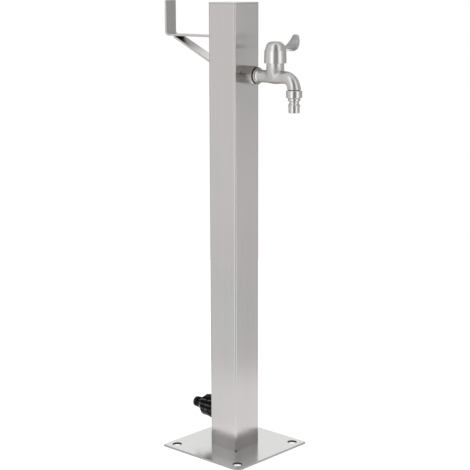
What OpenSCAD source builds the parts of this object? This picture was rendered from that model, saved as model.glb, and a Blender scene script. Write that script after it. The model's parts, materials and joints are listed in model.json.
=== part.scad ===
// Garden standpipe: a square steel column on a bolt-down plate, with a quarter
// turn tap on the front, a hose hook on the back and a hose inlet near the foot.
// Millimetres. +Z is up, the tap points to -Y, the hook and the inlet to +Y.
// The origin is the centre of the underside of the base plate.

/* [Column] */
// Height from the ground to the top of the column
column_h = 660; // [560:1:800]
// Outer width of the square tube
post_w = 51; // [50:1:56]
// Wall of the square tube
post_wall = 1.5; // [1:0.1:1.5]
// Outer corner radius of the square tube
post_corner_r = 2.5; // [2:0.1:4]
// Thickness of the cap welded on the tube
cap_t = 2; // [1:0.1:4]

/* [Base plate] */
// Side of the square base plate
plate_w = 152; // [145:1:220]
// Thickness of the base plate
plate_t = 3; // [2:0.1:8]
// Corner radius of the base plate
plate_corner_r = 1; // [0.5:0.1:6]
// Plate's edge to the middle of a bolt hole
bolt_inset = 14.5; // [10:0.1:20]
// Diameter of the bolt holes
bolt_hole_d = 14; // [6:0.1:16]

/* [Hose hook] */
// Width of the steel strip of the hook and its brace
strip_w = 20; // [12:0.5:30]
// Thickness of the strip
strip_t = 3; // [2:0.1:4]
// Inner radius of the bend in the strip
strip_bend_r = 4; // [1:0.1:6]
// Top of the column down to the upper side of the hook's arm
hook_drop = 47.1; // [35:0.1:60]
// Back of the column to the inner side of the upright
hook_reach = 100.3; // [80:0.1:130]
// Upper side of the arm to the top of the upright
hook_rise = 48.6; // [30:0.1:80]
// Back of the column to the far end of the brace
brace_reach = 85.5; // [60:0.1:95]
// Underside of the arm to the underside of the brace's foot on the column
brace_drop = 41.9; // [30:0.1:60]

/* [Tap adaptor] */
// Top of the column down to the axis of the tap
tap_drop = 101.5; // [80:0.5:160]
// Hexagon across flats
hex_af = 24.5; // [24:0.5:30]
// Turn of the hexagon from flats above and below
hex_turn = 15; // [0:1:30]
// Length of the hexagon outside the column
hex_len = 18.7; // [17:0.1:25]
// Outer diameter of the half inch thread
thread_d = 20.9; // [20.5:0.1:21.5]
// Length of the threaded stub inside the column
stub_len = 15; // [14:0.1:16]
// Waterway of the adaptor and the elbows
waterway_d = 12; // [9:0.5:13]
// Thickness of the rubber washer inside the wall
wall_washer_t = 1.2; // [0.8:0.1:2]
// Thickness of the lock nut inside the wall
locknut_t = 5; // [4:0.1:6]
// Lock nut across flats
locknut_af = 27; // [26:0.5:30]

/* [Tap body] */
// Thickness of the black ring between adaptor and tap
gasket_t = 1.6; // [1:0.1:2.5]
// Length of the tap's thread inside the adaptor
inlet_thread_len = 12; // [8:0.5:15]
// Diameter of the collar at the inlet
collar_d = 23.4; // [22.5:0.1:26]
// Straight width of the collar's rim
collar_t = 2; // [1:0.1:3]
// Length over which the collar narrows to the tube
collar_taper = 5.4; // [3:0.1:8]
// Outer diameter of the tube and the spout
tube_d = 17.9; // [16.5:0.1:18.5]
// Column's front face to the axis of the valve
valve_reach = 52.6; // [50:0.1:58]
// Radius of the tube's belly under the valve
belly_r = 10.1; // [9.3:0.1:11]
// Length of the belly along the tube
belly_len = 32; // [24:0.5:34]
// Height over the tap's axis where the neck's foot starts to close below
foot_h = 6; // [4:0.1:8]
// Neck diameter near the tube
neck_foot_d = 25.8; // [23.4:0.1:27]
// Neck diameter at the top
neck_top_d = 24.1; // [21.6:0.1:24.6]
// Height of the neck's top over the tap's axis
neck_h = 21; // [20.5:0.1:23]
// Column's front face to the axis of the outlet
spout_reach = 86.9; // [84:0.1:96]
// Bend radius of the spout on its centre line
spout_bend_r = 16; // [14:0.1:19]
// Straight length of the spout below its bend
spout_straight = 0.2; // [0.1:0.1:8]
// Bore of the tube before and after the valve
body_bore_d = 10; // [8:0.1:10.5]

/* [Valve] */
// Bore of the neck that takes the cartridge
well_d = 16.6; // [16:0.1:17]
// Height of the valve seat over the tap's axis
seat_h = 7.2; // [6.8:0.1:7.6]
// Diameter of the ceramic discs
disc_d = 12; // [11:0.1:12.4]
// Thickness of each ceramic disc
disc_t = 2.6; // [2:0.1:2.8]
// Diameter of the spindle
stem_d = 7.6; // [7:0.1:8]
// Side of the spindle's square end
stem_square = 5.6; // [5:0.1:6.2]
// Quarter turn from closed to open
lever_turn_deg = 90; // [60:1:90]

/* [Lever] */
// Height of the handle's lower rim over the tap's axis
hub_z = 19; // [17.2:0.1:20]
// Height of the handle from its rim to its flat top
hub_h = 30.1; // [29:0.1:34]
// Diameter of the handle at its rim
hub_rim_d = 31.3; // [28.5:0.1:33]
// Diameter of the handle at its shoulder
hub_shoulder_d = 30.6; // [27.5:0.1:32]
// Height of the shoulder over the rim
hub_shoulder_h = 16.9; // [15:0.1:20]
// Radius of the dome's round
hub_round_r = 9.2; // [8:0.1:9.6]
// Diameter of the flat top
hub_top_d = 8.4; // [8.2:0.1:10]
// Diameter of the plug in the flat top
plug_d = 8; // [7.6:0.1:8]
// Axis of the handle to the outermost point of the lever
lever_reach = 45.3; // [40:0.1:60]
// Radius of the arc in which the leaf rises
leaf_arc_r = 23; // [18:0.1:25]
// Width of the leaf at its widest
lever_w = 25; // [20:0.1:27]
// Width of the leaf's root
leaf_root_w = 17; // [14:0.1:22]
// Width of the leaf near its tip
leaf_tip_w = 11.6; // [8:0.1:16]
// Height over the root up to which the leaf keeps its full width
leaf_wide_h = 2.1; // [1:0.1:5]
// Thickness of the leaf
lever_t = 3; // [2:0.1:4]
// Height of the leaf's tip over the handle's rim
lever_tip_h = 38; // [37:0.1:44]
// Height of the leaf's underside at its root over the handle's rim
lever_root_h = 15.9; // [15:0.1:20]

/* [Hose nozzle] */
// Diameter of the nozzle's collar
nozzle_collar_d = 22.3; // [20:0.1:24]
// Height of the nozzle's collar
nozzle_collar_h = 10.4; // [9:0.1:14]
// Diameter of the upper ridge
ridge_d = 17.2; // [15.5:0.1:18]
// Diameter of the groove between ridge and lip
groove_d = 13.6; // [12:0.1:14]
// Diameter of the lip below the groove
lip_d = 16.9; // [15.7:0.1:18]
// Height between the nozzle's collar and the lip below its groove
lip_drop = 10.5; // [9:0.1:12]
// Straight height of the lip
lip_h = 1.4; // [0.8:0.1:3]
// Diameter of the hose end below the lip
hose_end_d = 15.6; // [14.4:0.1:15.7]
// Length of the nozzle below its collar
nozzle_tail = 20.9; // [19:0.1:30]
// Bore of the nozzle
nozzle_bore_d = 9; // [6:0.1:9.6]

/* [Hose inlet] */
// Ground to the axis of the inlet
inlet_z = 51.5; // [45:0.5:90]
// Outer diameter of the three quarter inch thread
inlet_thread_d = 26.2; // [25.8:0.1:26.6]
// Length of that thread outside the column
inlet_thread_len_out = 19; // [16:0.1:22]
// Diameter of the gasket and the ring nut
ring_nut_d = 35; // [32:0.1:38]
// Thickness of the gasket outside the wall
inlet_gasket_t = 2; // [1:0.1:3]
// Thickness of the ring nut
ring_nut_t = 5; // [4:0.1:6]
// Diameter of the hand nut's collar next to the column
hand_nut_d = 35; // [33:0.1:38]
// Diameter of the hand nut's grip
grip_d = 32.8; // [31:0.1:34]
// Length of the hand nut
hand_nut_len = 25.5; // [22:0.1:28]
// Number of flutes in the grip
flute_count = 14; // [8:1:18]
// Diameter of the quick-connect nipple
nipple_d = 15.6; // [15:0.1:18]
// Length of the nipple's end land
nipple_land = 3.5; // [3:0.1:6]
// Diameter of the nipple's waist
waist_d = 12.8; // [12:0.1:13.4]
// Back of the column to the tip of the nipple
inlet_reach = 55.5; // [54:0.1:72]
// Bore of the nipple
nipple_bore_d = 9; // [6:0.1:9.5]

/* [Supply hose] */
// Outer diameter of the braided hose
hose_d = 14; // [12:0.1:15]
// Bore of the braided hose
hose_bore_d = 9; // [8:0.1:10]
// Hose nut across flats
hose_nut_af = 25; // [24:0.5:28]
// Height of the hose nuts
hose_nut_h = 17; // [15:0.1:20]
// Length of the crimped sleeves
sleeve_len = 22; // [16:0.5:30]
// Length of the elbow's outside thread for the hose nut
elbow_thread_len = 12; // [10:0.5:14]
// Elbow's centre to the end of its threaded branch
elbow_drop = 28; // [26:0.5:34]

/* [Hidden] */
$fn = 64;

// Gap of a thread or a push fit, on the radius
fit = 0.1;
// Gap of a part that turns in another, on the radius
run = 0.05;
// Gap between faces that don't bear on each other
gap = 0.3;
// How far a cutter runs past the face that it opens
over = 1;

half_w = post_w / 2;
inner_half = half_w - post_wall;
bolt_pitch = plate_w - 2 * bolt_inset;
tap_z = column_h - tap_drop;
post_top = column_h - cap_t;
arm_top = column_h - hook_drop;
arm_under = arm_top - strip_t;
thread_r = thread_d / 2;
waterway_r = waterway_d / 2;
inlet_thread_r = inlet_thread_d / 2;

// A ring or tube about Z
module pipe(outer_r, inner_r, h) {
    difference() {
        cylinder(r = outer_r, h = h);
        translate([0, 0, -over]) cylinder(r = inner_r, h = h + 2 * over);
    }
}

// A square of side w with round corners, in the XY plane
module rounded_square(w, r) {
    square([w - 2 * r, w], center = true);
    square([w, w - 2 * r], center = true);
    for (x = [-1, 1], y = [-1, 1])
        translate([x * (w / 2 - r), y * (w / 2 - r)]) circle(r = r);
}

// A hexagon prism about Z with both ends chamfered, corners on the X axis
module hex_bar(af, h, chamfer = 30) {
    corner_r = af / 2 / cos(30);
    rise = (corner_r - af / 2) * tan(chamfer);
    intersection() {
        cylinder(r = corner_r, h = h, $fn = 6);
        rotate_extrude() polygon([
            [0, 0], [af / 2, 0], [corner_r, rise],
            [corner_r, h - rise], [af / 2, h], [0, h]
        ]);
    }
}

// A hexagon nut with a round hole
module hex_nut(af, hole_r, h) {
    difference() {
        hex_bar(af, h);
        translate([0, 0, -over]) cylinder(r = hole_r, h = h + 2 * over);
    }
}

// Puts local +Z on the tap's axis, from the column's front face outwards
module on_tap_axis() {
    translate([0, -half_w, tap_z]) rotate([90, 0, 0]) children();
}

// Puts local +Z on the valve's axis, from the tap's axis upwards
module on_valve_axis() {
    translate([0, -half_w - valve_reach, tap_z]) children();
}

// Puts local +Z on the outlet's axis, from the end of the spout downwards
module on_outlet_axis() {
    translate([0, -half_w - spout_reach, tap_z - spout_bend_r - spout_straight])
        mirror([0, 0, 1]) children();
}

// Puts local +Z on the inlet's axis, from the column's back face outwards
module on_inlet_axis() {
    translate([0, half_w, inlet_z]) rotate([-90, 0, 0]) children();
}

// Puts local +Z on the hose's axis, from the upper elbow's centre downwards
module on_upper_elbow() {
    translate([0, 0, tap_z]) mirror([0, 0, 1]) children();
}

// Puts local +Z on the hose's axis, from the lower elbow's centre upwards
module on_lower_elbow() {
    translate([0, 0, inlet_z]) mirror([0, 1, 0]) children();
}

module base_plate() {
    color("gainsboro") difference() {
        linear_extrude(plate_t) rounded_square(plate_w, plate_corner_r);
        for (x = [-1, 1], y = [-1, 1])
            translate([x * bolt_pitch / 2, y * bolt_pitch / 2, -over])
                cylinder(d = bolt_hole_d, h = plate_t + 2 * over);
    }
}

module post_tube() {
    inner_r = max(post_corner_r - post_wall, 0.5);
    color("silver") difference() {
        translate([0, 0, plate_t]) linear_extrude(post_top - plate_t) difference() {
            rounded_square(post_w, post_corner_r);
            rounded_square(post_w - 2 * post_wall, inner_r);
        }
        on_tap_axis() translate([0, 0, -post_wall - over])
            cylinder(r = thread_r + gap, h = post_wall + 2 * over);
        on_inlet_axis() translate([0, 0, -post_wall - over])
            cylinder(r = inlet_thread_r + gap, h = post_wall + 2 * over);
    }
}

module top_cap() {
    color("silver") translate([0, 0, post_top])
        linear_extrude(cap_t) rounded_square(post_w, post_corner_r);
}

// Side view of the hook: x runs out from the column, y up from the arm's underside
module hook_outline() {
    outer_r = strip_bend_r + strip_t;
    reach = hook_reach + strip_t;
    difference() {
        union() {
            square([reach - outer_r, strip_t]);
            translate([reach - strip_t, outer_r]) square([strip_t, hook_rise + strip_t - outer_r]);
            translate([reach - outer_r, outer_r]) circle(r = outer_r);
        }
        translate([reach - outer_r, outer_r]) circle(r = strip_bend_r);
        translate([reach - 2 * outer_r - over, strip_t]) square([outer_r + over, 2 * outer_r]);
        translate([reach - outer_r - over, outer_r]) square([strip_bend_r + over, 2 * outer_r]);
    }
}

// Turns a side view into a strip: x to +Y from the column's back, y to +Z
module back_strip() {
    translate([strip_w / 2, half_w, arm_under])
        rotate([90, 0, 90]) translate([0, 0, -strip_w]) linear_extrude(strip_w) children();
}

module hook_arm() {
    color("silver") back_strip() hook_outline();
}

module hook_brace() {
    // The strip's square end touches the arm, and its foot is cut to the column
    rise = brace_drop - strip_t * 0.85;
    slope = rise / brace_reach;
    upright_t = strip_t * sqrt(1 + slope * slope);
    touch = (brace_drop - upright_t) / slope;
    color("silver") back_strip() polygon([
        [0, -brace_drop],
        [brace_reach, -brace_drop + rise],
        [brace_reach, 0],
        [touch, 0],
        [0, -brace_drop + upright_t]
    ]);
}

module tap_adaptor() {
    socket = inlet_thread_len + gasket_t + over;
    color("darkgray") on_tap_axis() difference() {
        union() {
            rotate([0, 0, -hex_turn]) hex_bar(hex_af, hex_len);
            translate([0, 0, -stub_len]) cylinder(r = thread_r, h = stub_len + over);
        }
        translate([0, 0, hex_len - socket]) cylinder(r = thread_r + fit, h = socket + over);
        translate([0, 0, -stub_len - over]) cylinder(r = waterway_r, h = stub_len + hex_len);
    }
}

module adaptor_washer() {
    color("dimgray") on_tap_axis() translate([0, 0, -post_wall - wall_washer_t])
        pipe(hex_af / 2 + over, thread_r + fit, wall_washer_t);
}

module adaptor_locknut() {
    color("goldenrod") on_tap_axis()
        translate([0, 0, -post_wall - wall_washer_t - locknut_t])
            hex_nut(locknut_af, thread_r + fit, locknut_t);
}

module tap_gasket() {
    color("black") on_tap_axis() translate([0, 0, hex_len])
        pipe(collar_d / 2, thread_r + fit, gasket_t);
}

// Places on the tap body, from the column's front face and the tap's axis
collar_at = hex_len + gasket_t;
tube_r = tube_d / 2;
foot_drop = tube_r - 0.6;
bend_at = spout_reach - spout_bend_r;
// The bend is this much wider than the straight parts, which run this far into it
bend_step = 0.05;
bend_lap = 0.6;
spout_end_r = 7.6;
spout_end_len = 6.5;
port_r = 3.2;
transfer_r = 1.9;
transfer_at = well_d / 2 + 0.5;
// Blind end of the inlet bore, past the port, and start of the outlet bore
inlet_blind = port_r + 0.5;
outlet_start = 6.2;

// Solid form of the tap body along the tap's axis
module tap_form() {
    on_tap_axis() {
        translate([0, 0, collar_at - inlet_thread_len - gasket_t])
            cylinder(r = thread_r, h = inlet_thread_len + gasket_t + over);
        rotate_extrude() polygon([
            [0, collar_at],
            [collar_d / 2 - 0.6, collar_at],
            [collar_d / 2, collar_at + 0.6],
            [collar_d / 2, collar_at + collar_t - 0.6],
            for (a = [0 : 15 : 90])
                [tube_r + (collar_d / 2 - tube_r) * (1 - sin(a)),
                 collar_at + collar_t + collar_taper * (1 - cos(a))],
            for (i = [0 : 12])
                [tube_r + (belly_r - tube_r) * (1 - cos(30 * i)) / 2,
                 valve_reach + belly_len * (i / 12 - 0.5)],
            [tube_r, bend_at + bend_lap],
            [0, bend_at + bend_lap]
        ]);
    }
    translate([0, -half_w - bend_at, tap_z - spout_bend_r]) rotate([90, 0, -90])
        rotate_extrude(angle = 90) translate([spout_bend_r, 0]) circle(r = tube_r + bend_step);
    on_outlet_axis() {
        translate([0, 0, -spout_straight - bend_lap])
            cylinder(r = tube_r, h = spout_straight + bend_lap);
        translate([0, 0, -over]) cylinder(r = spout_end_r, h = spout_end_len + over);
    }
    // The neck's foot is round below and closes inside the belly
    on_valve_axis() rotate_extrude() polygon([
        for (a = [0 : 10 : 90])
            [neck_foot_d / 2 * sin(a), foot_h - (foot_h + foot_drop) * cos(a)],
        [neck_top_d / 2, neck_h - 0.4],
        [neck_top_d / 2 - 0.4, neck_h],
        [0, neck_h]
    ]);
}

// Waterways and the cartridge's well
module tap_waterways() {
    bore_r = body_bore_d / 2;
    on_tap_axis() {
        translate([0, 0, collar_at - inlet_thread_len - gasket_t - over])
            cylinder(r = bore_r, h = valve_reach + inlet_blind - collar_at
                + inlet_thread_len + gasket_t + over);
        translate([0, 0, valve_reach + outlet_start])
            cylinder(r = bore_r, h = bend_at - valve_reach - outlet_start + bend_lap);
    }
    translate([0, -half_w - bend_at, tap_z - spout_bend_r]) rotate([90, 0, -90])
        rotate_extrude(angle = 90) translate([spout_bend_r, 0]) circle(r = bore_r + bend_step);
    on_outlet_axis() translate([0, 0, -spout_straight - bend_lap])
        cylinder(r = bore_r, h = spout_straight + bend_lap + spout_end_len + over);
    on_valve_axis() {
        cylinder(r = port_r, h = seat_h + over);
        translate([0, 0, seat_h]) cylinder(d = well_d, h = neck_h - seat_h + over);
        for (a = [-30, 0, 30]) rotate([0, 0, a]) translate([0, -transfer_at, 0])
            cylinder(r = transfer_r, h = seat_h + 3);
    }
}

module tap_body() {
    color("darkgray") difference() {
        tap_form();
        tap_waterways();
    }
}

// Stack of the valve, heights over the tap's axis
seal_h = 2;
seal_r = 6.7;
disc_z = seat_h + seal_h;
turning_z = disc_z + disc_t;
driver_z = turning_z + disc_t;
driver_h = 2.2;
driver_w = 4.6;
skirt_r = disc_d / 2 + run;
skirt_wall = 0.9;
disc_window_r = 1.6;
disc_window_w = 2.6;
disc_window_deg = 64;
window_w = 4;
window_h = 2.6;
thread_z = driver_z + driver_h + gap;
tower_z = neck_h + 4;
tower_r = 7;
cartridge_hex_af = 18.5;
tower_top = tower_z + 4.4;
lug_r = 5.7;
lug_h = 2.6;
lug_deg = 50;
lug_z = tower_top - lug_h - gap;
stem_r = stem_d / 2;
clip_t = 0.8;
clip_z = tower_top + 0.15;
clip_r = stem_r - 0.6;
stem_top = 40.6;
square_z = clip_z + clip_t + 1;
key_w = 2.4;
key_h = 1.2;
key_len = disc_d - 2.4;
o_ring_r = 0.85;
o_ring_z = neck_h - 2;
screw_hole_r = 1.6;

module seat_seal() {
    color("black") on_valve_axis() translate([0, 0, seat_h]) pipe(seal_r, port_r + 0.4, seal_h);
}

// Two facing sector windows in a disc, centred on angle a, for water to pass
module disc_windows(a) {
    for (s = [0, 180]) rotate([0, 0, a - disc_window_deg / 2 + s])
        rotate_extrude(angle = disc_window_deg)
            translate([disc_window_r, -over]) square([disc_window_w, disc_t + 2 * over]);
}

module fixed_disc() {
    color("whitesmoke") on_valve_axis() translate([0, 0, disc_z]) difference() {
        cylinder(d = disc_d, h = disc_t);
        disc_windows(0);
    }
}

module turning_disc() {
    color("white") on_valve_axis() translate([0, 0, turning_z]) difference() {
        cylinder(r = disc_d / 2 - run, h = disc_t);
        disc_windows(90);
        translate([-disc_d / 2 - over, -key_w / 2 - run, disc_t - key_h - 0.1])
            cube([disc_d + 2 * over, key_w + 2 * run, key_h + over]);
    }
}

// Sector of a disc for the quarter turn stop
module sector(r, h, from, sweep) {
    rotate([0, 0, from]) rotate_extrude(angle = sweep) square([r, h]);
}

module cartridge_housing() {
    pocket_from = -lug_deg / 2 - lever_turn_deg - 1;
    color("goldenrod") on_valve_axis() difference() {
        union() {
            translate([0, 0, disc_z + 0.2])
                cylinder(r = skirt_r + skirt_wall, h = thread_z - disc_z);
            translate([0, 0, thread_z])
                cylinder(r = well_d / 2 - fit, h = neck_h - thread_z + over);
            translate([0, 0, neck_h]) hex_bar(cartridge_hex_af, tower_z - neck_h);
            translate([0, 0, neck_h + over])
                cylinder(r = tower_r, h = tower_top - neck_h - over);
        }
        translate([0, 0, seat_h]) cylinder(r = skirt_r, h = thread_z - seat_h);
        cylinder(r = stem_r + run, h = tower_top + over);
        translate([0, 0, lug_z - gap])
            sector(lug_r + 0.2, lug_h + 3, pocket_from, lever_turn_deg + lug_deg + 2);
        for (a = [45, 135]) rotate([0, 0, a])
            translate([-tower_r * 1.5, -window_w / 2, driver_z - 0.6])
                cube([tower_r * 3, window_w, window_h]);
    }
}

module valve_stem() {
    color("khaki") on_valve_axis() difference() {
        union() {
            translate([0, 0, driver_z + run]) intersection() {
                cylinder(r = disc_d / 2 - 0.6, h = driver_h);
                translate([-disc_d / 2, -driver_w / 2, 0]) cube([disc_d, driver_w, driver_h]);
            }
            translate([-key_len / 2, -key_w / 2, driver_z - key_h])
                cube([key_len, key_w, key_h + 2 * run]);
            translate([0, 0, driver_z + driver_h])
                cylinder(r = stem_r, h = square_z - driver_z - driver_h);
            translate([0, 0, lug_z]) sector(lug_r, lug_h, -lug_deg / 2, lug_deg);
            translate([0, 0, square_z - 0.5]) rotate([0, 0, 45])
                cylinder(d = stem_square * sqrt(2), h = stem_top - square_z + 0.5, $fn = 4);
        }
        translate([0, 0, o_ring_z - o_ring_r - run])
            pipe(stem_r + over, stem_r - 2 * o_ring_r - run, 2 * (o_ring_r + run));
        translate([0, 0, clip_z]) pipe(stem_r + over, clip_r, clip_t);
        translate([0, 0, square_z + 1]) cylinder(r = screw_hole_r, h = stem_top);
    }
}

module stem_o_ring() {
    color("black") on_valve_axis() translate([0, 0, o_ring_z])
        rotate_extrude() translate([stem_r - o_ring_r, 0]) circle(r = o_ring_r);
}

module stem_clip() {
    mouth = 3.2;
    color("silver") on_valve_axis() translate([0, 0, clip_z + run]) difference() {
        pipe(stem_r + 1.4, clip_r + run, clip_t - 2 * run);
        translate([-mouth / 2, 0, -over]) cube([mouth, 2 * stem_r, clip_t + 2 * over]);
    }
}

// Sizes inside the handle, over the handle's rim
cavity_r = hub_rim_d / 2 - 1.8;
leaf_root_x = cavity_r - 3;
cavity_h = clip_z + clip_t + 1.2 - hub_z;
screw_r = 1.5;
screw_reach = 8;
screw_head_r = 3.3;
screw_head_h = 2.2;
screw_key_af = 2.8;
socket_top = stem_top + 0.2 - hub_z;
screw_seat = socket_top + 1.6;
plug_z = hub_h - 2.2;

// Half section of the handle's outside, from the rim up
module hub_outline() {
    polygon([
        [0, 0],
        [hub_rim_d / 2 - 0.3, 0],
        [hub_rim_d / 2, 0.3],
        [hub_shoulder_d / 2, hub_shoulder_h],
        for (a = [12 : 6 : 90])
            [hub_top_d / 2 + hub_round_r * cos(a), hub_h - hub_round_r * (1 - sin(a))],
        [0, hub_h]
    ]);
}

// Side view of the leaf: level from the root, then a quarter arc that ends upright
module leaf_side() {
    arc_x = lever_reach - leaf_arc_r;
    arc_h = lever_root_h + leaf_arc_r;
    translate([leaf_root_x, lever_root_h]) square([arc_x - leaf_root_x, lever_t]);
    difference() {
        translate([arc_x, arc_h]) circle(r = leaf_arc_r);
        translate([arc_x, arc_h]) circle(r = leaf_arc_r - lever_t);
        translate([arc_x - 2 * leaf_arc_r, lever_root_h - over]) square([2 * leaf_arc_r, 4 * leaf_arc_r]);
        translate([arc_x - over, arc_h + over]) square(2 * leaf_arc_r);
    }
}

// Front view of the leaf, seen along X: wide below, straight sides up to a round tip
module leaf_front() {
    tip_r = leaf_tip_w / 2;
    low = lever_root_h + leaf_wide_h;
    high = lever_tip_h - tip_r;
    half = lever_w / 2;
    tangent = acos(tip_r / norm([half, high - low])) - atan2(high - low, half);
    polygon([
        [half, lever_root_h - over],
        [half, low],
        for (i = [0 : 10]) let(a = tangent + (180 - 2 * tangent) * i / 10)
            [tip_r * cos(a), high + tip_r * sin(a)],
        [-half, low],
        [-half, lever_root_h - over]
    ]);
}

// Plan of the leaf: it widens from the root
module leaf_plan() {
    half = lever_w / 2;
    polygon([
        [leaf_root_x, -leaf_root_w / 2],
        [lever_reach - leaf_arc_r, -half],
        [lever_reach + over, -half],
        [lever_reach + over, half],
        [lever_reach - leaf_arc_r, half],
        [leaf_root_x, leaf_root_w / 2]
    ]);
}

// The leaf of the lever, pointing to +X from the handle's axis
module lever_leaf() {
    intersection() {
        translate([0, lever_w, 0]) rotate([90, 0, 0]) linear_extrude(2 * lever_w) leaf_side();
        rotate([90, 0, 90]) linear_extrude(lever_reach + over) leaf_front();
        linear_extrude(lever_tip_h + over) leaf_plan();
    }
}

module lever_handle() {
    color("silver") on_valve_axis() translate([0, 0, hub_z]) difference() {
        union() {
            rotate_extrude() hub_outline();
            lever_leaf();
        }
        translate([0, 0, -over]) cylinder(r = cavity_r, h = cavity_h + over);
        rotate([0, 0, 45]) cylinder(d = (stem_square + 0.1) * sqrt(2), h = socket_top, $fn = 4);
        cylinder(r = screw_r + gap, h = hub_h);
        translate([0, 0, screw_seat]) cylinder(r = screw_head_r + 0.2, h = hub_h);
        translate([0, 0, plug_z]) cylinder(d = plug_d, h = hub_h);
    }
}

module handle_screw() {
    color("silver") on_valve_axis() translate([0, 0, hub_z]) difference() {
        union() {
            translate([0, 0, screw_seat]) cylinder(r = screw_head_r, h = screw_head_h);
            translate([0, 0, screw_seat - screw_reach]) cylinder(r = screw_r, h = screw_reach + over);
        }
        translate([0, 0, screw_seat + 1])
            cylinder(d = screw_key_af / cos(30), h = screw_head_h, $fn = 6);
    }
}

module handle_plug() {
    color("silver") on_valve_axis() translate([0, 0, hub_z + plug_z])
        cylinder(r = plug_d / 2 - run, h = hub_h - plug_z);
}

module nozzle_washer() {
    color("black") on_outlet_axis() translate([0, 0, spout_end_len])
        pipe(spout_end_r, nozzle_bore_d / 2, 1.2);
}

module hose_nozzle() {
    top = gap;
    low = nozzle_collar_h + top;
    lip_at = low + lip_drop;
    tip = low + nozzle_tail;
    color("darkgray") on_outlet_axis() difference() {
        rotate_extrude() polygon([
            [0, top],
            [nozzle_collar_d / 2 - 1.6, top],
            for (a = [0 : 15 : 90])
                [nozzle_collar_d / 2 - 1.6 * (1 - sin(a)), top + 1.6 * (1 - cos(a))],
            [nozzle_collar_d / 2, low - 0.3],
            [nozzle_collar_d / 2 - 0.3, low],
            [ridge_d / 2 - 0.8, low],
            [ridge_d / 2, low + 1.2],
            [ridge_d / 2, low + 4.2],
            [groove_d / 2, low + 5.4],
            [groove_d / 2, low + 7.8],
            [lip_d / 2, lip_at],
            [lip_d / 2, lip_at + lip_h],
            [hose_end_d / 2, lip_at + lip_h + 0.4],
            [hose_end_d / 2, tip - 0.4],
            [hose_end_d / 2 - 0.4, tip],
            [0, tip]
        ]);
        translate([0, 0, top - over])
            cylinder(r = spout_end_r + fit, h = spout_end_len + 1.2 - top + over);
        cylinder(d = nozzle_bore_d, h = tip + over);
    }
}

// Places along an elbow's threaded branch, from the elbow's centre
elbow_face = inner_half - wall_washer_t - locknut_t;
elbow_neck = elbow_drop - elbow_thread_len;
flange_r = thread_r - 0.6;
hose_washer_t = 2;
tail_flange_t = 2;
tail_neck_r = 6.1;
tail_neck_len = 5;
nut_lip_t = 2.6;
nut_start = elbow_drop + hose_washer_t + tail_flange_t + nut_lip_t - hose_nut_h;
tail_shoulder = elbow_drop + hose_washer_t + tail_flange_t + tail_neck_len;
hose_r = hose_d / 2;

// Elbow with a socket towards -Y and a threaded branch towards +Z
module elbow() {
    body_r = thread_r + 2;
    difference() {
        union() {
            rotate([90, 0, 0]) cylinder(r = body_r, h = elbow_face);
            sphere(r = body_r);
            cylinder(r = body_r - 0.8, h = elbow_neck);
            cylinder(r = thread_r, h = elbow_drop);
        }
        rotate([90, 0, 0]) cylinder(r = waterway_r, h = elbow_face + over);
        translate([0, -elbow_face - over, 0]) rotate([-90, 0, 0])
            cylinder(r = thread_r + fit, h = elbow_face - half_w + stub_len + gap + over);
        cylinder(r = waterway_r, h = elbow_drop + over);
    }
}

module hose_washer() {
    translate([0, 0, elbow_drop]) pipe(flange_r, waterway_r, hose_washer_t);
}

// Hose tail: a flange held by the nut, a neck and a stem pushed into the hose
module hose_tail() {
    flange_at = elbow_drop + hose_washer_t;
    stem_end = tail_shoulder + sleeve_len - 2;
    difference() {
        union() {
            translate([0, 0, flange_at]) cylinder(r = flange_r, h = tail_flange_t);
            translate([0, 0, flange_at]) cylinder(r = tail_neck_r, h = tail_shoulder - flange_at);
            translate([0, 0, flange_at]) cylinder(r = hose_bore_d / 2 - run, h = stem_end - flange_at);
        }
        translate([0, 0, flange_at - over]) cylinder(r = hose_bore_d / 2 - 1.2, h = stem_end);
    }
}

module hose_nut() {
    bore_h = elbow_drop + hose_washer_t + tail_flange_t - nut_start;
    difference() {
        translate([0, 0, nut_start]) hex_bar(hose_nut_af, hose_nut_h);
        translate([0, 0, nut_start - over]) cylinder(r = thread_r + fit, h = bore_h + over);
        translate([0, 0, nut_start]) cylinder(r = tail_neck_r + gap, h = hose_nut_h + over);
    }
}

// Crimped sleeve: a lip behind the tail's neck and a tube round the hose
module sleeve() {
    difference() {
        translate([0, 0, tail_shoulder - 1]) cylinder(r = hose_r + 1, h = sleeve_len + 1);
        translate([0, 0, tail_shoulder + 0.2]) cylinder(r = hose_r + run, h = sleeve_len + over);
        cylinder(r = tail_neck_r + run, h = tail_shoulder + over);
    }
}

module upper_elbow() {
    color("goldenrod") on_upper_elbow() elbow();
}

module lower_elbow() {
    color("goldenrod") on_lower_elbow() elbow();
}

module upper_hose_washer() {
    color("black") on_upper_elbow() hose_washer();
}

module lower_hose_washer() {
    color("black") on_lower_elbow() hose_washer();
}

module upper_hose_tail() {
    color("goldenrod") on_upper_elbow() hose_tail();
}

module lower_hose_tail() {
    color("goldenrod") on_lower_elbow() hose_tail();
}

module upper_hose_nut() {
    color("silver") on_upper_elbow() hose_nut();
}

module lower_hose_nut() {
    color("silver") on_lower_elbow() hose_nut();
}

module upper_sleeve() {
    color("silver") on_upper_elbow() sleeve();
}

module lower_sleeve() {
    color("silver") on_lower_elbow() sleeve();
}

module supply_hose() {
    low = inlet_z + tail_shoulder + 0.3;
    high = tap_z - tail_shoulder - 0.3;
    color("slategray") translate([0, 0, low]) pipe(hose_r, hose_bore_d / 2, high - low);
}

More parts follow.
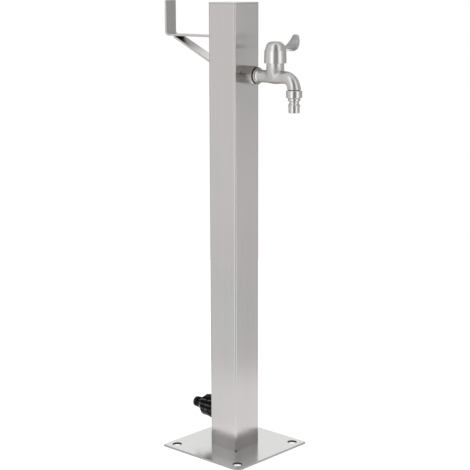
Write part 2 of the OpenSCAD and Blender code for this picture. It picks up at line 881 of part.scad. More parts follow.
module inlet_fitting() {
    flange_t = wall_washer_t + locknut_t;
    color("goldenrod") on_inlet_axis() difference() {
        union() {
            cylinder(r = inlet_thread_r, h = inlet_thread_len_out);
            translate([0, 0, -post_wall]) cylinder(r = inlet_thread_r, h = post_wall + over);
            translate([0, 0, -post_wall - flange_t]) hex_bar(locknut_af + 5, flange_t);
            translate([0, 0, -stub_len]) cylinder(r = thread_r, h = stub_len);
        }
        translate([0, 0, -stub_len - over])
            cylinder(r = waterway_r, h = stub_len + inlet_thread_len_out + 2 * over);
    }
}

module inlet_gasket() {
    color("black") on_inlet_axis() pipe(ring_nut_d / 2 - 0.5, inlet_thread_r + fit, inlet_gasket_t);
}

module inlet_ring_nut() {
    color("black") on_inlet_axis() translate([0, 0, inlet_gasket_t]) difference() {
        cylinder(d = ring_nut_d, h = ring_nut_t);
        translate([0, 0, -over]) cylinder(r = inlet_thread_r + fit, h = ring_nut_t + 2 * over);
        for (i = [0 : 7]) rotate([0, 0, i * 45]) translate([ring_nut_d / 2 + 0.8, 0, -over])
            cylinder(r = 2, h = ring_nut_t + 2 * over);
    }
}

connector_washer_t = 2;

module connector_washer() {
    color("dimgray") on_inlet_axis() translate([0, 0, inlet_thread_len_out])
        pipe(inlet_thread_r - 0.2, waterway_r, connector_washer_t);
}

// Places on the inlet connector, from the column's back face
connector_start = inlet_gasket_t + ring_nut_t + gap;
connector_shoulder = connector_start + hand_nut_len;
nipple_land_at = inlet_reach - 1.5 - nipple_land;
waist_len = 3.6;
waist_at = nipple_land_at - 0.5 - waist_len;
nipple_ring_r = 0.85;

module inlet_connector() {
    collar_len = 9.5;
    cone_len = 9;
    flute_r = 1.7;
    nipple_r = nipple_d / 2;
    bore_end = inlet_thread_len_out + connector_washer_t;
    color("black") on_inlet_axis() difference() {
        rotate_extrude() polygon([
            [0, connector_start],
            [hand_nut_d / 2 - 0.5, connector_start],
            [hand_nut_d / 2, connector_start + 0.5],
            [hand_nut_d / 2, connector_start + collar_len - 0.8],
            [grip_d / 2, connector_start + collar_len],
            [grip_d / 2, connector_shoulder - 1.2],
            [grip_d / 2 - 1.2, connector_shoulder],
            [nipple_r + 1.6, connector_shoulder + cone_len],
            [nipple_r, connector_shoulder + cone_len + 1.2],
            [nipple_r, waist_at - 0.5],
            [waist_d / 2, waist_at],
            [waist_d / 2, waist_at + waist_len],
            [nipple_r, nipple_land_at],
            [nipple_r, nipple_land_at + nipple_land],
            [nipple_r - 0.7, inlet_reach - 0.5],
            [nipple_r - 1.6, inlet_reach],
            [0, inlet_reach]
        ]);
        translate([0, 0, connector_start - over])
            cylinder(r = inlet_thread_r + fit, h = bore_end - connector_start + over);
        cylinder(d = nipple_bore_d, h = inlet_reach + over);
        for (i = [0 : flute_count - 1]) rotate([0, 0, i * 360 / flute_count])
            translate([grip_d / 2 + flute_r - 1, 0, connector_start + collar_len])
                cylinder(r = flute_r, h = hand_nut_len);
    }
}

module nipple_o_ring() {
    color("black") on_inlet_axis() translate([0, 0, waist_at + waist_len / 2]) rotate_extrude()
        translate([waist_d / 2 + nipple_ring_r + run, 0]) circle(r = nipple_ring_r);
}

base_plate();
post_tube();
top_cap();
hook_arm();
hook_brace();
tap_adaptor();
adaptor_washer();
adaptor_locknut();
tap_gasket();
tap_body();
seat_seal();
fixed_disc();
turning_disc();
cartridge_housing();
valve_stem();
stem_o_ring();
stem_clip();
lever_handle();
handle_screw();
handle_plug();
nozzle_washer();
hose_nozzle();
upper_elbow();
upper_hose_washer();
upper_hose_tail();
upper_hose_nut();
upper_sleeve();
supply_hose();
lower_sleeve();
lower_hose_nut();
lower_hose_tail();
lower_hose_washer();
lower_elbow();
inlet_fitting();
inlet_gasket();
inlet_ring_nut();
connector_washer();
inlet_connector();
nipple_o_ring();
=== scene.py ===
"""Looks of the garden standpipe: its camera, studio and finishes, and the tap's cast body."""

import json
from math import cos, pi, radians, sin

import bmesh
import bpy
from mathutils import Matrix, Vector


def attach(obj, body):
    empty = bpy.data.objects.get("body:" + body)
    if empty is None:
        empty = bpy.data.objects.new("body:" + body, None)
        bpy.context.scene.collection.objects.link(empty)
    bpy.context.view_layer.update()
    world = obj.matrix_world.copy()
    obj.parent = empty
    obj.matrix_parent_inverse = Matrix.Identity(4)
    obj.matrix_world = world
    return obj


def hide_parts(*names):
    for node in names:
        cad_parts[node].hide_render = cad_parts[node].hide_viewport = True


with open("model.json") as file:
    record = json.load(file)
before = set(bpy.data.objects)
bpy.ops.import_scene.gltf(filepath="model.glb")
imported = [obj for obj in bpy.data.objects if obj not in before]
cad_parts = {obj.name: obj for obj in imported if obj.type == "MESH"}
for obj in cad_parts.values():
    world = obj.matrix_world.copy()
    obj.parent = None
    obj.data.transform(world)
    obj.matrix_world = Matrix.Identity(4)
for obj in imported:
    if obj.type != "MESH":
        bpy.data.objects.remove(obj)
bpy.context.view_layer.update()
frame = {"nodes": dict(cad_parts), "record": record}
nodes = frame["nodes"]
scene = bpy.context.scene

MM = 0.001

# The photograph's camera, found by fitting the plate's and the column's corners
PICTURE = 470
FOCAL_PIXELS = 1288.42
SENSOR = 36.0
CAMERA_AT = Vector((-1.36337, -1.25143, 0.69534))
CAMERA_TURN = radians(-47.485)
CAMERA_RISE = radians(11.345)
CAMERA_ROLL = radians(-0.143)

# Level directions from the object: towards the camera, and to the picture's right
TO_CAMERA = Vector((sin(CAMERA_TURN), -cos(CAMERA_TURN), 0))
TO_RIGHT = Vector((cos(CAMERA_TURN), sin(CAMERA_TURN), 0))

# Sizes of the object that its patterns follow
POST_HALF = 25.5 * MM
POST_TOP = 660 * MM
CAP_THICK = 2 * MM
PLATE_HALF = 76 * MM
PLATE_THICK = 3 * MM
BOLT_HALF_PITCH = 61.5 * MM
BOLT_HOLE_R = 7 * MM
TAP_Z = 558.5 * MM
VALVE_Y = -78.1 * MM
OUTLET_Y = -112.4 * MM
SPOUT_END = 542.3 * MM
INLET_Z = 51.5 * MM
ARM_TOP = 612.9 * MM
HOOK_OUT = 128.8 * MM
STRIP_HALF = 10 * MM
FLUTES = 14


class Value:
    """A number in a shader. Arithmetic on it adds Math nodes."""

    def __init__(self, finish, socket):
        self.finish = finish
        self.socket = socket

    def maths(self, operation, *values):
        node = self.finish.node("ShaderNodeMath", {"operation": operation}, dict(enumerate(values)))
        return Value(self.finish, node.outputs[0])

    def __add__(self, other):
        return self.maths("ADD", self, other)

    __radd__ = __add__

    def __sub__(self, other):
        return self.maths("SUBTRACT", self, other)

    def __rsub__(self, other):
        return self.maths("SUBTRACT", other, self)

    def __mul__(self, other):
        return self.maths("MULTIPLY", self, other)

    __rmul__ = __mul__

    def __truediv__(self, other):
        return self.maths("DIVIDE", self, other)

    def __pow__(self, other):
        return self.maths("POWER", self, other)

    def __abs__(self):
        return self.maths("ABSOLUTE", self)

    def least(self, other):
        return self.maths("MINIMUM", self, other)

    def most(self, other):
        return self.maths("MAXIMUM", self, other)

    def wave(self):
        return self.maths("SINE", self)

    def step(self, low, high):
        """0 below low, 1 above high, smooth between. With low above high it falls instead."""
        if low > high:
            return 1 - self.step(high, low)
        settings = {"interpolation_type": "SMOOTHSTEP"}
        inputs = {"Value": self, "From Min": low, "From Max": high}
        node = self.finish.node("ShaderNodeMapRange", settings, inputs)
        return Value(self.finish, node.outputs["Result"])


class Finish:
    """The node tree of a material or of the world, written as plain expressions."""

    def __init__(self, owner):
        owner.use_nodes = True
        self.owner = owner
        self.tree = owner.node_tree
        self.tree.nodes.clear()
        self.place = None

    def node(self, kind, settings=None, inputs=None):
        """Adds a node: its settings first, then the values or links of its sockets."""
        node = self.tree.nodes.new(kind)
        for key, value in (settings or {}).items():
            if key == "stops":
                self.set_stops(node.color_ramp, value)
            else:
                setattr(node, key, value)
        for key, value in (inputs or {}).items():
            socket = node.inputs[key]
            value = value.socket if isinstance(value, Value) else value
            if isinstance(value, bpy.types.NodeSocket):
                self.tree.links.new(value, socket)
            else:
                socket.default_value = value
        return node

    @staticmethod
    def set_stops(ramp, stops):
        """Fills a ramp from (position, grey level) pairs."""
        while len(ramp.elements) < len(stops):
            ramp.elements.new(1.0)
        for element, (at, level) in zip(ramp.elements, stops):
            element.position = at
            element.color = (level, level, level, 1)

    def where(self):
        """The piece's own coordinates, in metres."""
        if self.place is None:
            self.place = self.node("ShaderNodeTexCoord").outputs["Object"]
        return self.place

    def axes(self, vector=None):
        split = self.node("ShaderNodeSeparateXYZ", None, {0: vector or self.where()})
        return [Value(self, socket) for socket in split.outputs]

    def stretched(self, scale, offset=(0, 0, 0), turn=(0, 0, 0)):
        """The coordinates turned, and scaled along each axis."""
        inputs = {"Vector": self.where(), "Scale": scale, "Location": offset, "Rotation": turn}
        return self.node("ShaderNodeMapping", None, inputs).outputs[0]

    def noise(self, scale, detail=2.0, offset=(0, 0, 0), turn=(0, 0, 0)):
        """Soft noise from 0 to 1. The scale along each axis is in features per metre."""
        inputs = {"Vector": self.stretched(scale, offset, turn), "Scale": 1.0, "Detail": detail}
        return Value(self, self.node("ShaderNodeTexNoise", None, inputs).outputs["Fac"])

    def blend(self, share, first, second):
        """A colour between two colours."""
        inputs = {0: share, 6: colour(first), 7: colour(second)}
        return self.node("ShaderNodeMix", {"data_type": "RGBA"}, inputs).outputs[2]

    def shade(self, tint, level):
        """A colour made lighter or darker by a number."""
        inputs = {0: tint, 3: level}
        return self.node("ShaderNodeVectorMath", {"operation": "SCALE"}, inputs).outputs[0]

    def surface(self, inputs, height=None, depth=0.0, strength=1.0, edge=0.0):
        """Ends a material: its shader, rounded edges, and relief of a depth in metres."""
        normal = None
        if edge:
            normal = self.node("ShaderNodeBevel", {"samples": 6}, {"Radius": edge}).outputs[0]
        if height is not None:
            relief = {"Height": height, "Distance": depth, "Strength": strength}
            if normal is not None:
                relief["Normal"] = normal
            normal = self.node("ShaderNodeBump", None, relief).outputs[0]
        if normal is not None:
            inputs = {**inputs, "Normal": normal}
        shader = self.node("ShaderNodeBsdfPrincipled", None, inputs)
        self.node("ShaderNodeOutputMaterial", None, {"Surface": shader.outputs[0]})
        return self.owner


def colour(value):
    """A colour socket as it is, or three numbers with their alpha."""
    return value if isinstance(value, bpy.types.NodeSocket) else (*value, 1.0)


def new_finish(name):
    return Finish(bpy.data.materials.new(name))


# The camera

camera = bpy.data.objects.new("photo_camera", bpy.data.cameras.new("photo_camera"))
scene.collection.objects.link(camera)
camera.data.sensor_fit = "HORIZONTAL"
camera.data.sensor_width = SENSOR
camera.data.lens = SENSOR * FOCAL_PIXELS / PICTURE
camera.data.clip_end = 100
camera.matrix_world = (
    Matrix.Translation(CAMERA_AT)
    @ Matrix.Rotation(CAMERA_TURN, 4, "Z")
    @ Matrix.Rotation(pi / 2 - CAMERA_RISE, 4, "X")
    @ Matrix.Rotation(CAMERA_ROLL, 4, "Z")
)
scene.camera = camera
scene.view_settings.view_transform = "Standard"

# The studio

# Brightness round the object, at eye level and above it: degrees from the camera, to the
# picture's right where positive, and the level there
EYE_LEVEL = [
    (-180, 1.0), (-169, 1.0), (-165, 0.2), (-150, 0.1), (-124, 0.14), (-112, 0.58), (-104, 0.88),
    (-88, 0.78), (-76, 0.74), (-64, 0.88), (-53, 1.2), (-43, 1.6), (-31, 1.55), (-22, 0.9), (-14, 0.48),
    (-4, 0.4), (5, 0.4), (16, 0.32), (24, 0.5), (33, 1.05), (42, 1.35), (54, 1.4), (62, 1.05), (73, 0.72),
    (86, 0.57), (99, 0.575), (108, 0.48), (145, 0.44), (165, 0.5), (169, 1.0), (180, 1.0),
]
ABOVE = [
    (-180, 0.45), (-165, 0.3), (-120, 0.4), (-104, 0.8), (-76, 0.8), (-64, 0.78), (-53, 1.1), (-43, 1.4),
    (-31, 1.35), (-22, 0.8), (-14, 0.4), (5, 0.32), (16, 0.24), (24, 0.42), (33, 0.95), (42, 1.2),
    (54, 1.15), (64, 0.8), (80, 0.54), (120, 0.54), (150, 0.45), (180, 0.45),
]
BRIGHTEST = 1.8
OVERHEAD = 0.8
BACKDROP = 0.95
RIGHT_BOX_LIFT = 0.19
AHEAD_DIP = 0.3

# The sheet under the object: its radius, how light it is, how much it glows, and the level
# that mirrored rays see close to the plate, at its sides and before it
FLOOR_R = 1.3
FLOOR_DROP = 0.2 * MM
FLOOR_WHITE = 0.8
FLOOR_GLOW = 0.58
POOL_LEVEL = 0.92
FRONT_LEVEL = 1.1


def ring(finish, around, levels):
    """Brightness by direction round the object, from (degrees, level) pairs."""
    stops = [((angle + 180) / 360, level / BRIGHTEST) for angle, level in levels]
    inputs = {"Fac": around}
    ramp = finish.node("ShaderNodeValToRGB", {"stops": stops}, inputs)
    return Value(finish, ramp.outputs["Color"]) * BRIGHTEST


def dot(finish, vector, direction):
    inputs = {0: vector, 1: tuple(direction)}
    node = finish.node("ShaderNodeVectorMath", {"operation": "DOT_PRODUCT"}, inputs)
    return Value(finish, node.outputs["Value"])


def directions(finish, vector):
    """How far a place or direction lies to the right, and its turn round the object from 0 to 1."""
    rightwards = dot(finish, vector, TO_RIGHT)
    frontwards = dot(finish, vector, TO_CAMERA)
    return rightwards, rightwards.maths("ARCTAN2", rightwards, frontwards) / (2 * pi) + 0.5


def rising(height, low, high):
    """0 below one angle of elevation and 1 above the other, in degrees."""
    return height.step(sin(radians(low)), sin(radians(high)))


def white_rays(finish):
    """The rays that see the white background: the camera's own, and mirrored or clear ones."""
    rays = finish.node("ShaderNodeLightPath")
    camera_ray = Value(finish, rays.outputs["Is Camera Ray"])
    mirrored = Value(finish, rays.outputs["Is Glossy Ray"])
    through = Value(finish, rays.outputs["Is Transmission Ray"])
    return camera_ray, (mirrored + through).least(1)


def light_the_studio():
    """A white backdrop behind the object, tall soft boxes left and right of the camera."""
    world = Finish(bpy.data.worlds.new("studio"))
    scene.world = world.owner
    way = world.node("ShaderNodeTexCoord").outputs["Generated"]
    height = world.axes(way)[2]
    rightwards, around = directions(world, way)
    low = ring(world, around, EYE_LEVEL)
    high = ring(world, around, ABOVE)
    below = rising(height, -2, -13)
    low = low * (1 + below * rightwards.step(0.6, 0.9) * RIGHT_BOX_LIFT)
    ahead = abs(around - 0.5).step(0.055, 0.03) * rising(height, -3.8, -4.8)
    low = low * (1 - ahead * AHEAD_DIP)
    rise = rising(height, 2, 17)
    level = low * (1 - rise) + high * rise
    behind = abs(around - 0.5).step(0.39, 0.42) * rising(height, 5, 9)
    behind = behind.most(abs(around - 0.5).step(0.46, 0.468))
    backdrop = behind * rising(height, 46, 30)
    top = rising(height, 52, 75)
    level = level * (1 - top) + top * OVERHEAD
    level = level * (1 - backdrop) + backdrop * BACKDROP
    camera_ray, _ = white_rays(world)
    level = level * (1 - camera_ray) + camera_ray
    background = world.node("ShaderNodeBackground", None, {"Color": (1, 1, 1, 1), "Strength": level})
    world.node("ShaderNodeOutputWorld", None, {"Surface": background.outputs[0]})


def lay_the_floor():
    """A round white sheet under the object. In mirrored rays it has the studio's own levels."""
    shape = bmesh.new()
    bmesh.ops.create_circle(shape, cap_ends=True, segments=96, radius=FLOOR_R)
    bmesh.ops.translate(shape, verts=shape.verts, vec=(0, 0, -FLOOR_DROP))
    floor = finished(shape, "floor")
    sheet = new_finish("white_sheet")
    away_x, away_y, _ = sheet.axes()
    away = (away_x * away_x + away_y * away_y) ** 0.5
    rightwards, around = directions(sheet, sheet.where())
    level = ring(sheet, around, EYE_LEVEL) * (1 + (rightwards / away).step(0.6, 0.9) * RIGHT_BOX_LIFT)
    aside = abs(rightwards).step(0.07, 0.14)
    pool = away.step(0.52, 0.26)
    level = level * (1 - pool) + pool * (aside * (POOL_LEVEL - FRONT_LEVEL) + FRONT_LEVEL)
    camera_ray, mirrored = white_rays(sheet)
    diffuse = sheet.node("ShaderNodeBsdfDiffuse", None, {"Color": (FLOOR_WHITE,) * 3 + (1,)})
    light = sheet.node("ShaderNodeEmission", None, {"Strength": camera_ray * FLOOR_GLOW})
    both = sheet.node("ShaderNodeAddShader", None, {0: diffuse.outputs[0], 1: light.outputs[0]})
    image = sheet.node("ShaderNodeEmission", None, {"Strength": level})
    mixed = sheet.node("ShaderNodeMixShader", None, {0: mirrored, 1: both.outputs[0], 2: image.outputs[0]})
    sheet.node("ShaderNodeOutputMaterial", None, {"Surface": mixed.outputs[0]})
    floor.data.materials.append(sheet.owner)


def finished(shape, name):
    """Makes an object of a bmesh, at the origin, with its faces turned outwards."""
    bmesh.ops.recalc_face_normals(shape, faces=shape.faces)
    mesh = bpy.data.meshes.new(name)
    shape.to_mesh(mesh)
    shape.free()
    piece = bpy.data.objects.new(name, mesh)
    scene.collection.objects.link(piece)
    return piece


# The tap's cast body

VOXEL = 0.45 * MM
MERGE_GAP = 0.001 * MM
BELLY_R = 10.1 * MM
NECK_R = 12.9 * MM
WELL_R = 9.2 * MM
BORE_R = 6.5 * MM
THREAD_Y = -30 * MM
FOOT_R = 21 * MM
FOOT_LOW, FOOT_HIGH = -11 * MM, 15 * MM
FOOT_PASSES = 90
SKIN_PASSES = 8
SPOUT_WIDER = 0.105
SPOUT_CORE_R = 7 * MM


def cast_the_tap_body(material):
    """Replaces the plain tap body by a casting: fillets round the neck's foot, a wider spout end."""
    plain = nodes["tap_body"]
    merged = bmesh.new()
    merged.from_mesh(plain.data)
    bmesh.ops.remove_doubles(merged, verts=merged.verts, dist=MERGE_GAP)
    body = finished(merged, "cast_tap_body")
    even = body.modifiers.new("even_mesh", "REMESH")
    even.mode = "VOXEL"
    even.voxel_size = VOXEL
    shape = bmesh.new()
    shape.from_object(body, bpy.context.evaluated_depsgraph_get())
    body.modifiers.clear()

    foot, skin = [], []
    for vertex in shape.verts:
        x, y, z = vertex.co
        from_valve = Vector((x, y - VALVE_Y)).length
        from_outlet = Vector((x, y - OUTLET_Y)).length
        in_well = from_valve < WELL_R and z > TAP_Z
        in_bore = Vector((x, z - TAP_Z)).length < BORE_R
        on_thread = y > THREAD_Y or z < SPOUT_END + 0.3 * MM
        if in_well or in_bore or on_thread:
            continue
        skin.append(vertex)
        if from_valve < FOOT_R and FOOT_LOW < z - TAP_Z < FOOT_HIGH:
            foot.append(vertex)
            rise = min(max((z - TAP_Z + 3 * MM) / (11 * MM), 0), 1)
            belly = max(BELLY_R ** 2 - (z - TAP_Z) ** 2, 0) ** 0.5
            widest = belly + (NECK_R - belly) * rise * rise * (3 - 2 * rise)
            vertex.co.x = min(max(x, -widest), widest)
            x = vertex.co.x
        rise = (z - SPOUT_END) / (6 * MM)
        if rise < 1 and from_outlet > SPOUT_CORE_R:
            wider = 1 + SPOUT_WIDER * (1 - rise) ** 1.5
            vertex.co = (x * wider, OUTLET_Y + (y - OUTLET_Y) * wider, z)
    along = {"use_axis_x": True, "use_axis_y": True, "use_axis_z": True}
    for verts, passes in ((foot, FOOT_PASSES), (skin, SKIN_PASSES)):
        for _ in range(passes):
            bmesh.ops.smooth_vert(shape, verts=verts, factor=0.5, **along)
    for face in shape.faces:
        face.smooth = True
    shape.to_mesh(body.data)
    shape.free()
    body.data.materials.clear()
    body.data.materials.append(material)
    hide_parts("tap_body")
    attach(body, "column")


# The finishes

def steel(name, tone, roughness, grain, streak=0.06, mottle=0.03, anisotropy=0.0,
          edge=0.3 * MM, relief=0.02 * MM, metallic=1.0, rosy=1.0, darker=None, rougher=None):
    """Brushed steel. The grain is its pattern's scale along each axis, in lines per metre."""
    finish = new_finish(name)
    fine = finish.noise(grain, 3.0)
    broad = finish.noise([g / 7 for g in grain], 2.0, (3.1, 1.7, 5.3))
    cloud = finish.noise((11, 11, 7), 3.0, (8.0, 2.0, 4.0))
    hair = finish.noise([g * 2.6 for g in grain], 1.0, (0.4, 7.1, 2.2))
    scratch = finish.noise((60, 900, 300), 2.0, (5.0, 1.0, 9.0), (0.5, 0.9, 0.3)).step(0.7, 0.76)
    level = 1 + (fine - 0.5) * streak + (broad - 0.5) * streak + (cloud - 0.5) * mottle
    if darker is not None:
        level = level * darker(finish)
    warm = [t * w for t, w in zip(tone, (1 + 0.045 * rosy, 1.0, 1 + 0.005 * rosy))]
    cool = [t * w for t, w in zip(tone, (0.993, 1.0, 0.993))]
    tint = finish.blend(cloud.step(0.3, 0.58), cool, warm)
    rough = roughness + (fine - 0.5) * 0.1 + (cloud - 0.5) * 0.06 + scratch * 0.04
    if rougher is not None:
        rough = rough + rougher(finish)
    return finish.surface(
        {
            "Base Color": finish.shade(tint, level),
            "Metallic": metallic,
            "Roughness": rough,
            "Anisotropic": anisotropy,
        },
        height=fine + hair * 0.5,
        depth=relief,
        edge=edge,
    )


def plain_metal(name, tone, roughness, tarnish, edge=0.2 * MM):
    """Turned metal with faint rings and a little tarnish."""
    finish = new_finish(name)
    cloud = finish.noise((90, 90, 90), 4.0)
    lines = finish.noise((60, 60, 2600), 2.0)
    level = 1 + (lines - 0.5) * 0.08
    tint = finish.blend(cloud.step(0.45, 0.7), tone, tarnish)
    return finish.surface(
        {
            "Base Color": finish.shade(tint, level),
            "Metallic": 1.0,
            "Roughness": roughness + (cloud - 0.5) * 0.12 + (lines - 0.5) * 0.06,
        },
        height=lines,
        depth=0.01 * MM,
        edge=edge,
    )


def moulded(name, tone, roughness, grain=900.0, specks=0.25, edge=0.25 * MM, sheen=0.5):
    """Moulded plastic or rubber with a fine grain and lighter scuffs."""
    finish = new_finish(name)
    fine = finish.noise((grain, grain, grain), 2.0)
    cloud = finish.noise((70, 70, 70), 4.0, (2.0, 5.0, 1.0))
    scuff = (cloud * fine * 4).step(1.05, 1.5)
    lighter = [min(1, t * 1.8 + 0.004) for t in tone]
    return finish.surface(
        {
            "Base Color": finish.blend(scuff * specks, tone, lighter),
            "Roughness": roughness + (cloud - 0.5) * 0.14 + (fine - 0.5) * 0.08,
            "Specular IOR Level": sheen,
        },
        height=fine,
        depth=0.02 * MM,
        edge=edge,
    )


def hand_nut(name):
    """Black moulded plastic with worn crests between its flutes, lighter partly from wear and partly as a
    painted highlight.
    """
    finish = new_finish(name)
    x, y, z = finish.axes()
    turn = x.maths("ARCTAN2", z - INLET_Z, x)
    grain = finish.noise((1400, 1400, 1400), 2.0)
    cloud = finish.noise((80, 200, 80), 4.0, (2.0, 5.0, 1.0))
    crest = (turn * FLUTES).wave().step(0.1, 0.95) * cloud.step(0.3, 0.6)
    ends = (y * 420).wave().step(0.86, 0.99) * cloud.step(0.4, 0.65)
    # Wear and painted highlight on the crests and rings
    wear_and_painted_highlight = crest.most(ends)
    return finish.surface(
        {
            "Base Color": finish.blend(wear_and_painted_highlight, (0.001, 0.001, 0.0012), (0.13, 0.13, 0.125)),
            "Roughness": 0.2 + (cloud - 0.5) * 0.16 + (grain - 0.5) * 0.08,
            "Specular IOR Level": 0.07,
        },
        height=grain,
        depth=0.02 * MM,
        edge=0.25 * MM,
    )


def painted_shade_in_bolt_holes(finish):
    """Painted shade: darkens the cut walls of the four bolt holes."""
    x, y, _ = finish.axes()
    across, along = abs(x) - BOLT_HALF_PITCH, abs(y) - BOLT_HALF_PITCH
    away = (across * across + along * along) ** 0.5
    return away.step(BOLT_HOLE_R + 0.05 * MM, BOLT_HOLE_R + 0.3 * MM) * 0.94 + 0.06


def column_seam_and_painted_shade(finish):
    """The cap's dark seam; painted shade along the foot above the weld, standing in for a reflection and
    wider near the corners; and painted shade dimming the highlight on the rounded corners.
    """
    x, y, z = finish.axes()
    from_corner = POST_HALF * 2 - abs(x) - abs(y)
    # Painted shade along the foot, standing in for a reflection, wider near the corners
    foot = z.step(34 * MM, 16 * MM)
    foot_corner = foot * from_corner.step(22 * MM, 2 * MM)
    # Painted shade dimming the highlight on the rounded corners
    corner = from_corner.step(3.2 * MM, 2 * MM) * (0.05 + foot * 0.06 + z.step(560 * MM, 640 * MM) * 0.07)
    seam = abs(z - (POST_TOP - CAP_THICK)).step(0.5 * MM, 0.1 * MM)
    level = 1 - foot * 0.31 - foot_corner * 0.06 - corner - seam * 0.25
    return level * at_the_foot_corner(finish)


def at_the_foot_corner(finish):
    """A small dark spot at the column's front corner, at its foot."""
    x, y, z = finish.axes()
    across, along, up = x + POST_HALF, y + POST_HALF, z - PLATE_THICK
    away = (across * across + along * along + up * up) ** 0.5
    return 1 - away.step(3.2 * MM, 1.4 * MM) * 0.6


def plate_edges_and_painted_shade(finish):
    """Dark edges, painted shade on the bolt hole walls, and a small dark spot at the column's front corner.
    """
    x, y, _ = finish.axes()
    edges = abs(x).most(abs(y)).step(PLATE_HALF - 0.35 * MM, PLATE_HALF - 0.1 * MM)
    return painted_shade_in_bolt_holes(finish) * at_the_foot_corner(finish) * (1 - edges * 0.5)


def painted_tube_shade(finish):
    """Painted shade: darker top and bottom lines of the tap's level tube, standing in for its reflections.
    """
    _, y, z = finish.axes()
    tube = y.step(-44 * MM, -47 * MM) * y.step(-104 * MM, -96 * MM)
    over = (z - TAP_Z).step(5 * MM, 8.5 * MM) * y.step(-68 * MM, -64 * MM)
    under = (z - TAP_Z).step(-5 * MM, -9 * MM)
    return 1 - tube * (over * 0.55 + under * 0.6)


def casting(finish):
    """1 on the cast body, 0 on the turned nozzle below it."""
    _, _, z = finish.axes()
    return (z - SPOUT_END).step(-0.7 * MM, 0.7 * MM)


def rough_casting(finish):
    """The cast body is rougher than the turned nozzle, most of all round the neck's foot."""
    _, y, z = finish.axes()
    foot = abs(y - VALVE_Y).step(24 * MM, 16 * MM) * abs(z - TAP_Z).step(19 * MM, 10 * MM)
    return casting(finish) * 0.1 + foot * 0.2


def dull_dome_and_leaf(finish):
    """The handle's dome and its leaf are duller than its side."""
    x, _, z = finish.axes()
    dome = (z - TAP_Z).step(37 * MM, 45 * MM) * 0.12
    return dome.most(x.step(15 * MM, 17 * MM) * 0.24)


def painted_leaf_shade(finish):
    """Painted shade: the lever's leaf is darker along its lower side."""
    x, _, z = finish.axes()
    low = (z - TAP_Z).step(41 * MM, 37.5 * MM)
    return 1 - x.step(16 * MM, 20 * MM) * low * 0.36


def painted_hook_shade(finish):
    """Painted shade and highlight: the hook's upright is darker inside and lighter along its edge; its
    brace is darker under the arm's end and lighter towards the column.
    """
    x, y, z = finish.axes()
    upright = y.step(HOOK_OUT - 5 * MM, HOOK_OUT - 4 * MM) * (z - ARM_TOP).step(0, 3 * MM)
    inside = y.step(HOOK_OUT - 2.6 * MM, HOOK_OUT - 2.9 * MM)
    edges = abs(x).step(STRIP_HALF - 0.3 * MM, STRIP_HALF - 0.1 * MM)
    below = (z - ARM_TOP).step(-2.9 * MM, -3.2 * MM)
    root = y.step(86 * MM, 30 * MM)
    # Painted shade inside the upright, painted highlight along its edges, and on the brace painted shade
    # outwards and painted highlight near the column
    upright_level = 1 - upright * inside * (1 - edges) * 0.26 + upright * edges * 0.12
    return upright_level * (1 - below * (1 - edges) * (y.step(60 * MM, 96 * MM) * 0.5 - root * 0.5))


def painted_hexagon_shade(finish):
    """Painted shade on the hexagon's upper side and a painted highlight on its lower side."""
    _, _, z = finish.axes()
    return 1 - (z - TAP_Z).step(1 * MM, 3 * MM) * 0.4 + (z - TAP_Z).step(-1 * MM, -3 * MM) * 0.32


def braid(name):
    """Woven wire round the supply hose: two families of strands, each over and under the other."""
    finish = new_finish(name)
    x, y, z = finish.axes()
    turn = y.maths("ARCTAN2", y, x)
    rightward = (turn * 8 + z * 900).wave()
    leftward = (turn * 8 - z * 900).wave()
    over = rightward.most(leftward)
    wires = (turn * 48 + z * 900).wave() * 0.3 + (turn * 48 - z * 900).wave() * 0.3
    height = over + wires
    # Painted shade: the strands' colour darkens where the weave lies low
    tint = finish.blend(height.step(-0.4, 0.9), (0.12, 0.12, 0.12), (0.58, 0.58, 0.57))
    return finish.surface(
        {"Base Color": tint, "Metallic": 1.0, "Roughness": 0.34 - over * 0.06},
        height=height,
        depth=0.25 * MM,
    )


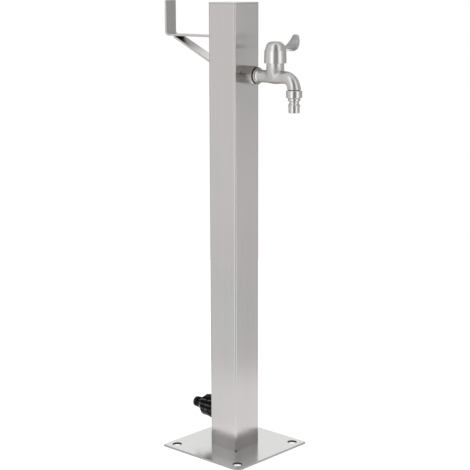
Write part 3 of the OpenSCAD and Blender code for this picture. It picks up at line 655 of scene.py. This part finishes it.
UPRIGHT = (1500, 1500, 9)
ALONG_X = (14, 1500, 1500)
ALONG_Y = (1500, 14, 1500)
TURNED = (70, 70, 1900)
POLISHED = (420, 420, 420)

light_the_studio()
lay_the_floor()

finishes = {
    "plate_steel": steel(
        "plate_steel", (0.77, 0.77, 0.76), 0.2, ALONG_X, mottle=0.02, relief=0.006 * MM, metallic=0.86,
        rosy=0.0, darker=plate_edges_and_painted_shade),
    "column_steel": steel(
        "column_steel", (0.635, 0.63, 0.62), 0.21, UPRIGHT, anisotropy=0.9, relief=0.004 * MM,
        darker=column_seam_and_painted_shade),
    "hook_steel": steel(
        "hook_steel", (0.62, 0.62, 0.61), 0.24, UPRIGHT, streak=0.14, relief=0.006 * MM, darker=painted_hook_shade),
    "adaptor_steel": steel(
        "adaptor_steel", (0.46, 0.45, 0.44), 0.26, TURNED, streak=0.14, relief=0.006 * MM,
        darker=painted_hexagon_shade),
    "tap_steel": steel(
        "tap_steel", (0.64, 0.63, 0.62), 0.13, POLISHED, streak=0.06, mottle=0.06, relief=0.001 * MM,
        rosy=0.3, darker=painted_tube_shade, rougher=rough_casting),
    "handle_steel": steel(
        "handle_steel", (0.64, 0.635, 0.63), 0.12, POLISHED, streak=0.03, mottle=0.04, relief=0.001 * MM,
        rosy=0.3, darker=painted_leaf_shade, rougher=dull_dome_and_leaf),
    "small_steel": steel("small_steel", (0.6, 0.6, 0.6), 0.28, TURNED),
    "nut_chrome": plain_metal("nut_chrome", (0.78, 0.78, 0.78), 0.1, (0.7, 0.7, 0.7)),
    "brass": plain_metal("brass", (0.74, 0.58, 0.3), 0.26, (0.6, 0.43, 0.2)),
    "ceramic": moulded("ceramic", (0.93, 0.92, 0.9), 0.14, grain=1800, specks=0.1, sheen=0.6),
    "seal_rubber": moulded("seal_rubber", (0.008, 0.008, 0.0085), 0.5, grain=1400, sheen=0.2),
    "hose_braid": braid("hose_braid"),
    "inlet_plastic": hand_nut("inlet_plastic"),
}

cast_the_tap_body(finishes["tap_steel"])

for part in frame["record"]["subparts"]:
    node = nodes[part["node"]]
    node.data.materials.clear()
    node.data.materials.append(finishes[part["material_slot"]])
